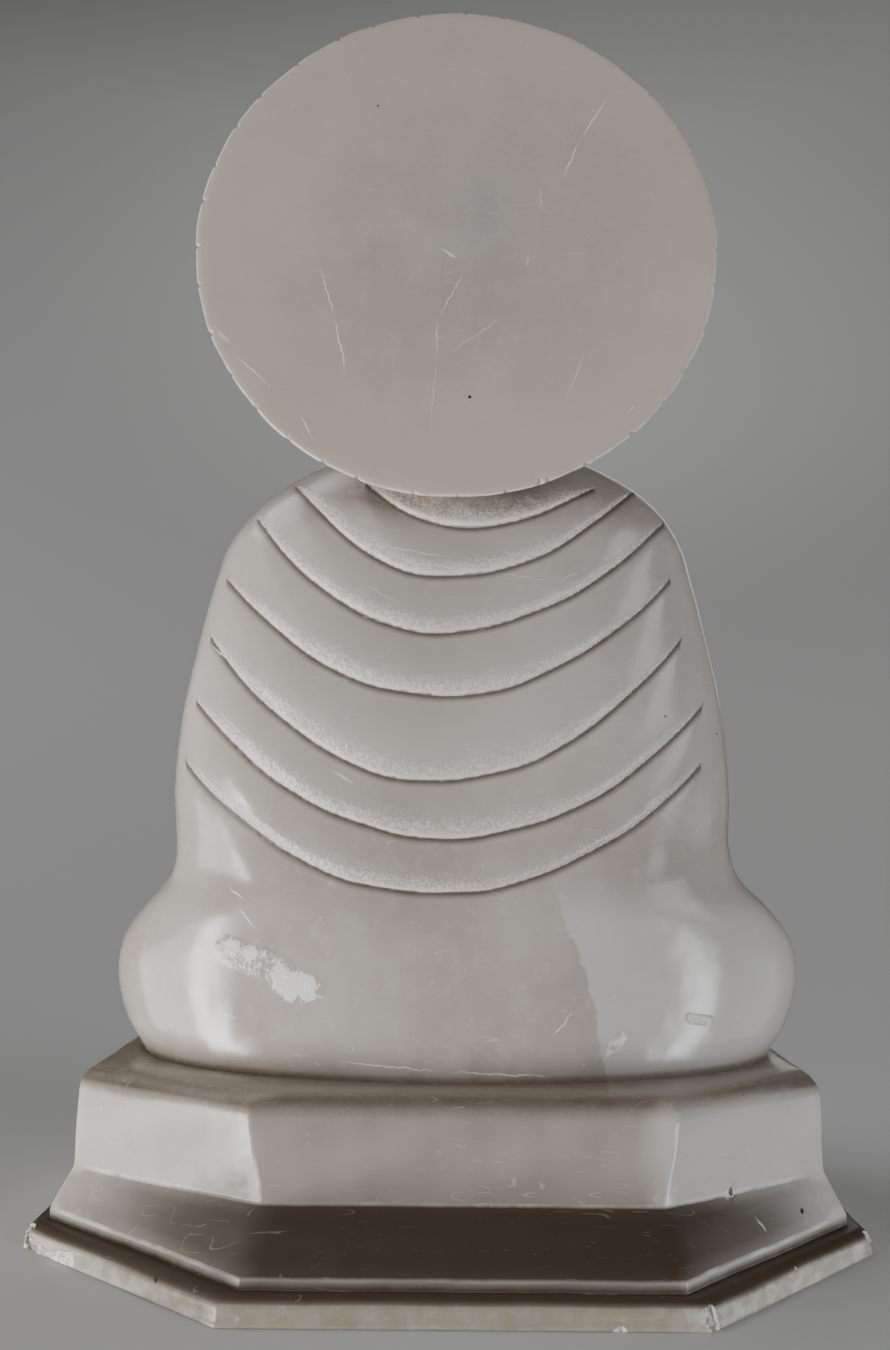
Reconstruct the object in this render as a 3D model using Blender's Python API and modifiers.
# A pale soapstone figure of a seated Buddha, seen from behind in the photograph. The figure, its round
# halo and its eight-sided stepped plinth are carved from one block. The front faces -Y and Z is up.
import math

import bmesh
import bpy
import numpy as np
from mathutils import Matrix, Vector

# Plinth, in metres. The rim is the lowest and widest band and the tier is the block above the slope.
PLINTH_WIDTH = 0.1200
PLINTH_DEPTH = 0.0840
RIM_HEIGHT = 0.0034
RIM_CORNER_WIDTH = 0.0303
RIM_CORNER_DEPTH = 0.0228
SHELF_SIDE = 0.0022
SHELF_BACK = 0.0028
SHELF_DIP = 0.0004
SLOPE_LIP = 0.0010
TIER_WIDTH = 0.1098
TIER_DEPTH = 0.0614
TIER_CORNER_WIDTH = 0.0282
TIER_CORNER_DEPTH = 0.0148
TIER_FLAT_FLARE = 0.0020
BACK_FLAT_SHIFT = 0.0019
SLOPE_TOP = 0.0100
PLINTH_HEIGHT = 0.0240
TIER_ROUNDING = 0.0034
ROUNDING_STEPS = 3

# Halo, a flat disc whose edge is nicked by the rays cut into its front.
HALO_DIAMETER = 0.0790
HALO_THICKNESS = 0.0070
RAY_COUNT = 36
RAY_INNER_SHARE = 0.74
RAY_WIDTH = 0.0016
RAY_DEPTH = 0.0012
NICK_WIDTH = 0.0009
NICK_DEPTH = 0.0007

# Figure. It is drawn on a canon of 146 units from seat to crown, so a unit is 1 mm at the real size.
FIGURE_HEIGHT = 0.1460
UNIT = FIGURE_HEIGHT / 146
HALO_MIDDLE = 121.9
HALO_FRONT = 24.2
SEAT_SINK = 5.0
NAPE_RADIUS = 10.0
NAPE_SINK = 2.0

# Fineness of the modelled clay, in units, and what is left of it in the solid.
BODY_VOXEL = 0.8
HEAD_VOXEL = 0.55
BODY_TRIANGLES = 4500
HEAD_TRIANGLES = 3900

# Robe over the back, arms and thighs as level sections, in units from the seat up: height, half width,
# back, front, depth of the widest place and squareness.
ROBE_SECTIONS = (
    (0, 48.9, 25.2, -21.0, 0.5, 2.05),
    (5, 51.8, 25.2, -22.5, 0.5, 2.1),
    (12, 53.8, 25.2, -22.0, 0.5, 2.1),
    (18, 52.9, 25.3, -19.0, 1.0, 2.1),
    (23, 49.4, 25.5, -16.0, 1.5, 2.2),
    (27, 45.8, 25.6, -14.5, 2.0, 2.25),
    (32, 44.6, 25.8, -13.5, 2.5, 2.3),
    (40, 45.2, 26.0, -12.5, 3.0, 2.35),
    (52, 44.3, 26.3, -12.0, 4.0, 2.4),
    (65, 41.8, 26.4, -12.0, 5.0, 2.4),
    (75, 39.3, 26.0, -11.5, 6.0, 2.4),
    (82, 37.0, 25.0, -10.0, 7.0, 2.35),
    (87, 33.6, 23.2, -8.0, 8.0, 2.3),
    (91, 28.6, 20.8, -5.5, 9.0, 2.2),
    (95, 20.5, 18.4, -2.0, 9.5, 2.0),
    (98, 10.0, 15.5, 3.0, 10.0, 2.0),
)

# Folds on the back: height of the lowest point, side shift of it, half spans and rise at the ends.
BACK_FOLDS = (
    (80.3, -1.0, 14.1, 19.8, 7.0),
    (72.4, 1.2, 23.1, 28.7, 15.3),
    (63.9, 2.7, 27.2, 34.4, 17.9),
    (54.4, 1.9, 32.1, 33.7, 17.5),
    (42.0, 2.6, 33.6, 35.9, 20.4),
    (33.8, 1.1, 36.8, 37.8, 18.6),
    (26.0, 2.6, 36.8, 38.4, 17.2),
)
SHIN_FOLDS = (
    (13.5, 4.0, 38.0, 33.0, 5.0),
    (8.0, 2.0, 36.0, 33.0, 7.0),
    (2.5, -2.0, 30.0, 33.0, 6.0),
)
SLEEVE_FOLDS = (
    (72.0, 4.0, 17.0, 17.0, 10.0),
    (62.0, 3.0, 17.0, 17.0, 9.0),
    (52.0, 2.0, 17.0, 17.0, 8.0),
    (43.0, 2.0, 17.0, 17.0, 8.0),
    (34.0, 1.0, 17.0, 17.0, 7.0),
)
SLEEVE_FOLD_MIDDLE = 26.0
SLEEVE_FOLD_FALL = 0.9
FOLD_CURVE = 2.05
FOLD_DEPTH = 1.25
FOLD_BEVEL = 2.0
FOLD_RAMP = 6.5

# Hair: the cap and the knot on the crown, as centre and radii, and the curls set on them, in units.
HAIR_CAP = ((0, 11.2, 124.4), (15.2, 16.8, 15.0))
TOP_KNOT = ((0, 10.2, 136.4), (8.3, 8.6, 9.4))
CURL_SPACING = 3.3
CURL_RADIUS = 1.75


def clear_scene():
    for item in list(bpy.data.objects):
        bpy.data.objects.remove(item)


def stone_material():
    stone = bpy.data.materials.new("soapstone")
    stone.use_nodes = True
    surface = stone.node_tree.nodes["Principled BSDF"]
    surface.inputs["Base Color"].default_value = (0.52, 0.49, 0.45, 1.0)
    surface.inputs["Roughness"].default_value = 0.42
    surface.inputs["Metallic"].default_value = 0.0
    return stone


def collection(name):
    made = bpy.data.collections.new(name)
    bpy.context.scene.collection.children.link(made)
    return made


def add_object(name, mesh, group):
    item = bpy.data.objects.new(name, mesh)
    group.objects.link(item)
    return item


def hide_guide(item):
    item.hide_render = True
    item.display_type = "WIRE"


def mesh_from(bm, name):
    bmesh.ops.recalc_face_normals(bm, faces=bm.faces)
    mesh = bpy.data.meshes.new(name)
    bm.to_mesh(mesh)
    bm.free()
    return mesh


def smooth_through(knots, x):
    """A smooth curve through the rows of knots, first column against the others."""
    table = np.array(knots, float)
    places, values = table[:, 0], table[:, 1:]
    slopes = np.gradient(values, places, axis=0)
    i = int(np.clip(np.searchsorted(places, x) - 1, 0, len(places) - 2))
    span = places[i + 1] - places[i]
    t = (x - places[i]) / span
    start = (1 + 2 * t) * (1 - t) ** 2 * values[i] + t * (1 - t) ** 2 * span * slopes[i]
    end = t * t * (3 - 2 * t) * values[i + 1] + t * t * (t - 1) * span * slopes[i + 1]
    return start + end


def bridge_rings(bm, rings):
    """Faces between successive rings of the same count of points, closed at both ends."""
    made = [[bm.verts.new(p) for p in ring] for ring in rings]
    for low, high in zip(made, made[1:]):
        count = len(low)
        for i in range(count):
            j = (i + 1) % count
            bm.faces.new((low[i], low[j], high[j], high[i]))
    bm.faces.new(list(reversed(made[0])))
    bm.faces.new(made[-1])


def add_ball(clay, centre, radii):
    """An ellipsoid in units, with fewer sides where it is small."""
    small = max(radii) < 3
    bmesh.ops.create_uvsphere(
        clay,
        u_segments=10 if small else 28,
        v_segments=7 if small else 18,
        radius=1.0,
        matrix=Matrix.Translation(centre) @ Matrix.Diagonal((*radii, 1.0)),
    )


def add_limb(clay, points, radii):
    """A chain of tapered rounds through the points, with a ball at each."""
    for point, radius in zip(points, radii):
        add_ball(clay, point, (radius,) * 3)
    for i in range(len(points) - 1):
        start, end = Vector(points[i]), Vector(points[i + 1])
        along = end - start
        turn = along.to_track_quat("Z", "Y").to_matrix().to_4x4()
        bmesh.ops.create_cone(
            clay,
            cap_ends=True,
            segments=28,
            radius1=radii[i],
            radius2=radii[i + 1],
            depth=along.length,
            matrix=Matrix.Translation((start + end) / 2) @ turn,
        )


def add_pair(adder, clay, points, *rest):
    """The same shape on the left and on the right."""
    adder(clay, points, *rest)
    single = isinstance(points[0], (int, float))
    mirrored = (-points[0], *points[1:]) if single else [(-x, y, z) for x, y, z in points]
    adder(clay, mirrored, *rest)


def robe_ring(height, points=64):
    half_width, back, front, middle, squareness = smooth_through(ROBE_SECTIONS, height)
    ring = []
    for i in range(points):
        angle = 2 * math.pi * i / points
        c, s = math.cos(angle), math.sin(angle)
        reach = (abs(c) ** squareness + abs(s) ** squareness) ** (-1 / squareness)
        depth = back - middle if s > 0 else middle - front
        ring.append((half_width * c * reach, middle + depth * s * reach, height))
    return ring


def add_robe(clay):
    low, high = ROBE_SECTIONS[0][0], ROBE_SECTIONS[-1][0]
    heights = np.linspace(low - SEAT_SINK, high, 60)
    bridge_rings(clay, [robe_ring(h) for h in heights])


def add_legs(clay):
    add_limb(clay, [(-39, -9, 10.5), (-24, -18.5, 8.6), (4, -20.5, 6.4)], (12.5, 9.4, 7.6))
    add_limb(clay, [(39, -9, 11.5), (24, -17.5, 11.0), (-8, -19.0, 13.0)], (12.5, 9.8, 7.2))
    add_ball(clay, (0, -13, 17), (23, 10, 8))
    add_ball(clay, (0, -4, -1), (46, 23, 5))


def add_arms(clay):
    add_pair(add_limb, clay, [(28.5, 2, 77), (34.5, -1, 36), (14.0, -16.5, 27.5)], (10.2, 10.4, 6.4))
    add_pair(add_limb, clay, [(31, -5, 27), (21, -13, 21)], (9.0, 7.0))
    add_ball(clay, (0, -7.5, 42), (24, 7.5, 27))


def add_hands(clay):
    for side, lift in ((1, 0.0), (-1, 3.4)):
        palm = Vector((side * 5.0, -20.0, 24.6 + lift))
        add_ball(clay, palm, (8.0, 5.2, 2.6))
        for finger in range(4):
            across = -23.6 + 2.5 * finger
            start = (side * 1.5, across, 25.0 + lift)
            end = (-side * (10.5 - 0.5 * abs(finger - 1)), across + 0.3, 24.8 + lift)
            add_limb(clay, [start, end], (1.55, 1.3))
        thumb = [(side * 10, -16.5, 27.5), (side * 5.5, -17.0, 31.6), (side * 0.9, -18.0, 32.6)]
        add_limb(clay, thumb, (2.1, 1.7, 1.45))


def add_neck(clay):
    add_limb(clay, [(0, 9, 86), (0, 8.5, 106)], (9.6, 8.8))
    prop = HALO_FRONT + NAPE_SINK - NAPE_RADIUS
    add_limb(clay, [(0, prop - 2, 86), (0, prop, 112)], (NAPE_RADIUS,) * 2)


def add_face(clay):
    add_ball(clay, (0, 9.0, 121), (14.2, 16.0, 15.5))
    add_ball(clay, (0, 4.5, 112.5), (13.0, 12.0, 12.4))
    add_ball(clay, (0, 0.5, 108.0), (9.6, 8.6, 8.0))
    add_ball(clay, (0, -4.4, 103.4), (4.4, 3.6, 3.3))
    add_pair(add_ball, clay, (6.6, -1.9, 110.4), (5.2, 5.2, 6.0))
    add_limb(clay, [(0, -6.2, 119.6), (0, -8.4, 113.0)], (1.5, 2.0))
    add_pair(add_ball, clay, (1.9, -7.6, 111.9), (1.6, 2.0, 1.5))
    add_pair(add_limb, clay, [(1.6, -6.3, 120.2), (5.4, -5.6, 122.3), (9.8, -2.6, 120.4)], (1.1, 1.0, 0.9))
    add_pair(add_ball, clay, (5.6, -4.2, 116.8), (3.9, 3.2, 2.4))
    add_ball(clay, (0, -6.7, 107.9), (4.4, 2.1, 1.1))
    add_ball(clay, (0, -6.6, 106.3), (3.4, 2.0, 1.1))


def add_ears(clay):
    add_pair(add_ball, clay, (14.4, 7.5, 114.5), (1.7, 3.4, 7.0))
    add_pair(add_limb, clay, [(14.4, 6.6, 110), (13.4, 5.4, 99.5)], (1.6, 1.5))


def curl_places(centre, radii, lowest_angle):
    """Rows of points round an ellipsoid from its top down, each row set half a step from the last."""
    rows = int(math.radians(lowest_angle) * radii[2] / CURL_SPACING)
    for row in range(rows + 1):
        fall = row * CURL_SPACING / radii[2]
        count = max(1, round(2 * math.pi * math.sin(fall) * radii[0] / CURL_SPACING))
        for k in range(count):
            angle = 2 * math.pi * (k + 0.5 * (row % 2)) / count
            level = math.sin(fall)
            out = (level * math.cos(angle), level * math.sin(angle), math.cos(fall))
            yield Vector(c + r * o for c, r, o in zip(centre, radii, out))


def add_hair(clay):
    add_ball(clay, *HAIR_CAP)
    add_ball(clay, *TOP_KNOT)
    knot_centre, knot_radii = Vector(TOP_KNOT[0]), Vector(TOP_KNOT[1])
    for point in curl_places(*HAIR_CAP, 112):
        from_knot = Vector((p - c) / r for p, c, r in zip(point, knot_centre, knot_radii))
        hairline = 128.0 - 0.075 * point.x ** 2 - max(0.0, point.y) * 0.9
        if from_knot.length > 1.0 and point.z > hairline and point.y < HALO_FRONT - 0.5:
            add_ball(clay, point, (CURL_RADIUS,) * 3)
    for point in curl_places(*TOP_KNOT, 75):
        if point.y < HALO_FRONT - 0.5:
            add_ball(clay, point, (CURL_RADIUS,) * 3)


def lapped(below, reach):
    """Depth of a lapped fold: a short bevel above its line, then a long ramp out again below it."""
    bevel, ramp = FOLD_BEVEL * reach + 1e-6, FOLD_RAMP * (0.35 + 0.65 * reach)
    above = np.clip(1 + below / bevel, 0, 1)
    under = np.clip(1 - below / ramp, 0, 1) ** 1.6
    return FOLD_DEPTH * reach * np.where(below < 0, above, under)


def fold_relief(x, z, fold):
    """Depth that one fold of the back cuts at each point, in units."""
    bottom, shift, left_span, right_span, rise = fold
    span = np.where(x > shift, left_span, right_span)
    along = (x - shift) / span
    line = bottom + rise * np.abs(along) ** FOLD_CURVE
    slope = FOLD_CURVE * rise * np.abs(along) ** (FOLD_CURVE - 1) / span
    below = (line - z) / np.sqrt(1 + slope ** 2)
    reach = np.clip(1 - np.abs(along) ** 5, 0, 1)
    return lapped(below, reach) * (np.abs(along) < 1)


def carve_back(points):
    x, y, z = points.T
    depth = np.max([fold_relief(x, z, fold) for fold in BACK_FOLDS], axis=0)
    behind = np.clip((y - 9.0) / 5.0, 0, 1)
    points[:, 1] -= depth * behind
    return points


def chest_opening(x, z):
    """Distance inside the neckline of the robe, in units, and below zero outside it."""
    half_width = 7.0 + 6.0 * np.clip((z - 44) / 46, 0, 1)
    return half_width * np.clip((z - 38) / 22, 0, 1) ** 0.5 - np.abs(x)


def carve_front(points):
    """Lapped folds of the robe over the shins, and folds that run down the sleeves."""
    x, y, z = points.T
    shins = np.max([fold_relief(x, z, fold) for fold in SHIN_FOLDS], axis=0)
    low = np.clip((-12.0 - y) / 4.0, 0, 1) * np.clip((20.0 - z) / 3.0, 0, 1)
    points[:, 1] += shins * low
    outward = np.abs(x) - SLEEVE_FOLD_MIDDLE
    level = z + SLEEVE_FOLD_FALL * outward
    sleeves = np.max([fold_relief(outward, level, fold) for fold in SLEEVE_FOLDS], axis=0)
    on_arm = np.clip((outward + 9) / 4, 0, 1) * np.clip((5 - y) / 5, 0, 1) * np.clip((z - 26) / 5, 0, 1)
    points[:, 1] += 0.8 * sleeves * on_arm
    return points


def carve_chest(points):
    x, y, z = points.T
    inside = chest_opening(x, z)
    in_front = np.clip((2.0 - y) / 3.0, 0, 1) * np.clip((z - 36) / 4, 0, 1)
    points[:, 1] += 1.4 * np.clip(inside / 0.8 + 0.5, 0, 1) * in_front
    band = np.clip(1 - np.abs(inside + 2.2) / 1.8, 0, 1) ** 0.5
    points[:, 1] -= 0.7 * band * in_front
    return points


def modelled(name, clay, voxel, rounds, carvers, group):
    """Fuses the clay's shapes into one skin, softens it and carves it. The result is in metres."""
    rough = add_object(name + "_clay", mesh_from(clay, name + "_clay"), group)
    fuse = rough.modifiers.new("fuse", "REMESH")
    fuse.mode = "VOXEL"
    fuse.voxel_size = voxel
    soften = rough.modifiers.new("soften", "SMOOTH")
    soften.factor = 0.5
    soften.iterations = rounds
    graph = bpy.context.evaluated_depsgraph_get()
    mesh = bpy.data.meshes.new_from_object(rough.evaluated_get(graph))
    bpy.data.objects.remove(rough)
    points = np.empty(len(mesh.vertices) * 3)
    mesh.vertices.foreach_get("co", points)
    points = points.reshape(-1, 3)
    for carve in carvers:
        points = carve(points)
    points = points * UNIT + np.array((0, 0, PLINTH_HEIGHT))
    mesh.vertices.foreach_set("co", points.ravel())
    mesh.update()
    return add_object(name, mesh, group)


def thin_out(item, triangles):
    faces = sum(len(p.vertices) - 2 for p in item.data.polygons)
    fewer = item.modifiers.new("fewer faces", "DECIMATE")
    fewer.ratio = triangles / faces
    fewer.use_collapse_triangulate = True


def make_body(group):
    clay = bmesh.new()
    add_robe(clay)
    add_legs(clay)
    add_arms(clay)
    add_hands(clay)
    body = modelled("body", clay, BODY_VOXEL, 3, (carve_back, carve_front, carve_chest), group)
    thin_out(body, BODY_TRIANGLES)
    return body


def make_head(group):
    clay = bmesh.new()
    add_neck(clay)
    add_face(clay)
    add_ears(clay)
    add_hair(clay)
    head = modelled("head", clay, HEAD_VOXEL, 1, (), group)
    thin_out(head, HEAD_TRIANGLES)
    return head


def outline(half_width, half_depth, corner_width, corner_depth, height):
    """The eight corners of the plinth at one height. Its back face sits a little to -X."""
    flat, side = half_width - corner_width, half_depth - corner_depth
    back = [(flat - BACK_FLAT_SHIFT, half_depth), (-flat - BACK_FLAT_SHIFT, half_depth)]
    sides = [(-half_width, side), (-half_width, -side), (half_width, -side), (half_width, side)]
    front = [(-flat, -half_depth), (flat, -half_depth)]
    ring = back + sides[:2] + front + sides[2:]
    return [(x, y, height) for x, y in ring]


def make_plinth(group):
    rim = (PLINTH_WIDTH / 2, PLINTH_DEPTH / 2, RIM_CORNER_WIDTH, RIM_CORNER_DEPTH)
    shelf = (rim[0] - SHELF_SIDE, rim[1] - SHELF_BACK, rim[2], rim[3])
    tier = (TIER_WIDTH / 2, TIER_DEPTH / 2, TIER_CORNER_WIDTH, TIER_CORNER_DEPTH)
    flared = (*tier[:2], TIER_CORNER_WIDTH - TIER_FLAT_FLARE, TIER_CORNER_DEPTH)
    rings = [
        outline(*rim, 0.0),
        outline(*rim, RIM_HEIGHT),
        outline(*shelf, RIM_HEIGHT - SHELF_DIP),
        outline(*shelf, RIM_HEIGHT + SLOPE_LIP),
        outline(*tier, SLOPE_TOP),
    ]
    for step in range(ROUNDING_STEPS + 1):
        turn = 0.5 * math.pi * step / ROUNDING_STEPS
        inset = TIER_ROUNDING * (1 - math.cos(turn))
        height = PLINTH_HEIGHT - TIER_ROUNDING * (1 - math.sin(turn))
        rings.append(outline(flared[0] - inset, flared[1] - inset, *flared[2:], height))
    bm = bmesh.new()
    bridge_rings(bm, rings)
    return add_object("plinth", mesh_from(bm, "plinth"), group)


def halo_outline():
    """The nicked edge of the halo, as angle and radius pairs."""
    radius = HALO_DIAMETER / 2
    step = 2 * math.pi / RAY_COUNT
    half_nick = NICK_WIDTH / 2 / radius
    for ray in range(RAY_COUNT):
        middle = (ray + 0.5) * step
        yield middle, radius - NICK_DEPTH
        yield middle + half_nick, radius
        for part in (1, 2):
            yield middle + step * part / 3, radius
        yield middle + step - half_nick, radius


def make_halo(group):
    edge = bpy.data.curves.new("halo_edge", "CURVE")
    edge.dimensions = "2D"
    edge.fill_mode = "BOTH"
    edge.extrude = HALO_THICKNESS / 2
    corners = list(halo_outline())
    spline = edge.splines.new("POLY")
    spline.points.add(len(corners) - 1)
    for point, (angle, radius) in zip(spline.points, corners):
        point.co = (radius * math.cos(angle), radius * math.sin(angle), 0, 1)
    spline.use_cyclic_u = True
    flat = add_object("halo_edge", edge, group)
    middle_y = HALO_FRONT * UNIT + HALO_THICKNESS / 2
    middle_z = PLINTH_HEIGHT + HALO_MIDDLE * UNIT
    place = Matrix.Translation((0, middle_y, middle_z)) @ Matrix.Rotation(math.pi / 2, 4, "X")
    graph = bpy.context.evaluated_depsgraph_get()
    bm = bmesh.new()
    bm.from_mesh(bpy.data.meshes.new_from_object(flat.evaluated_get(graph)))
    bpy.data.objects.remove(flat)
    bmesh.ops.remove_doubles(bm, verts=bm.verts, dist=1e-6)
    bm.transform(place)
    halo = add_object("halo", mesh_from(bm, "halo"), group)
    cut = halo.modifiers.new("rays", "BOOLEAN")
    cut.operation = "DIFFERENCE"
    cut.object = make_rays(group, place)
    return halo


def make_rays(group, place):
    """Wedges that cut the rays into the front of the halo, deepest and widest at its edge."""
    radius = HALO_DIAMETER / 2
    front = HALO_THICKNESS / 2
    above = front + RAY_DEPTH
    inner, outer = radius * RAY_INNER_SHARE, radius + RAY_WIDTH
    bm = bmesh.new()
    for ray in range(RAY_COUNT):
        turn = Matrix.Rotation(2 * math.pi * (ray + 0.5) / RAY_COUNT, 4, "Z")
        rings = []
        for reach, half, bottom in ((inner, RAY_WIDTH / 8, front), (outer, RAY_WIDTH, front - RAY_DEPTH)):
            ring = [(reach, -half, above), (reach, 0, bottom), (reach, half, above)]
            rings.append([place @ turn @ Vector(corner) for corner in ring])
        bridge_rings(bm, rings)
    rays = add_object("rays", mesh_from(bm, "rays"), group)
    hide_guide(rays)
    return rays


def main():
    clear_scene()
    statue_group = collection("buddha_statue")
    guides = collection("guides")
    statue = make_plinth(statue_group)
    statue.name = "buddha_statue"
    for other in (make_body(guides), make_head(guides), make_halo(guides)):
        hide_guide(other)
        join = statue.modifiers.new("with " + other.name, "BOOLEAN")
        join.operation = "UNION"
        join.object = other
    statue.data.materials.append(stone_material())


main()
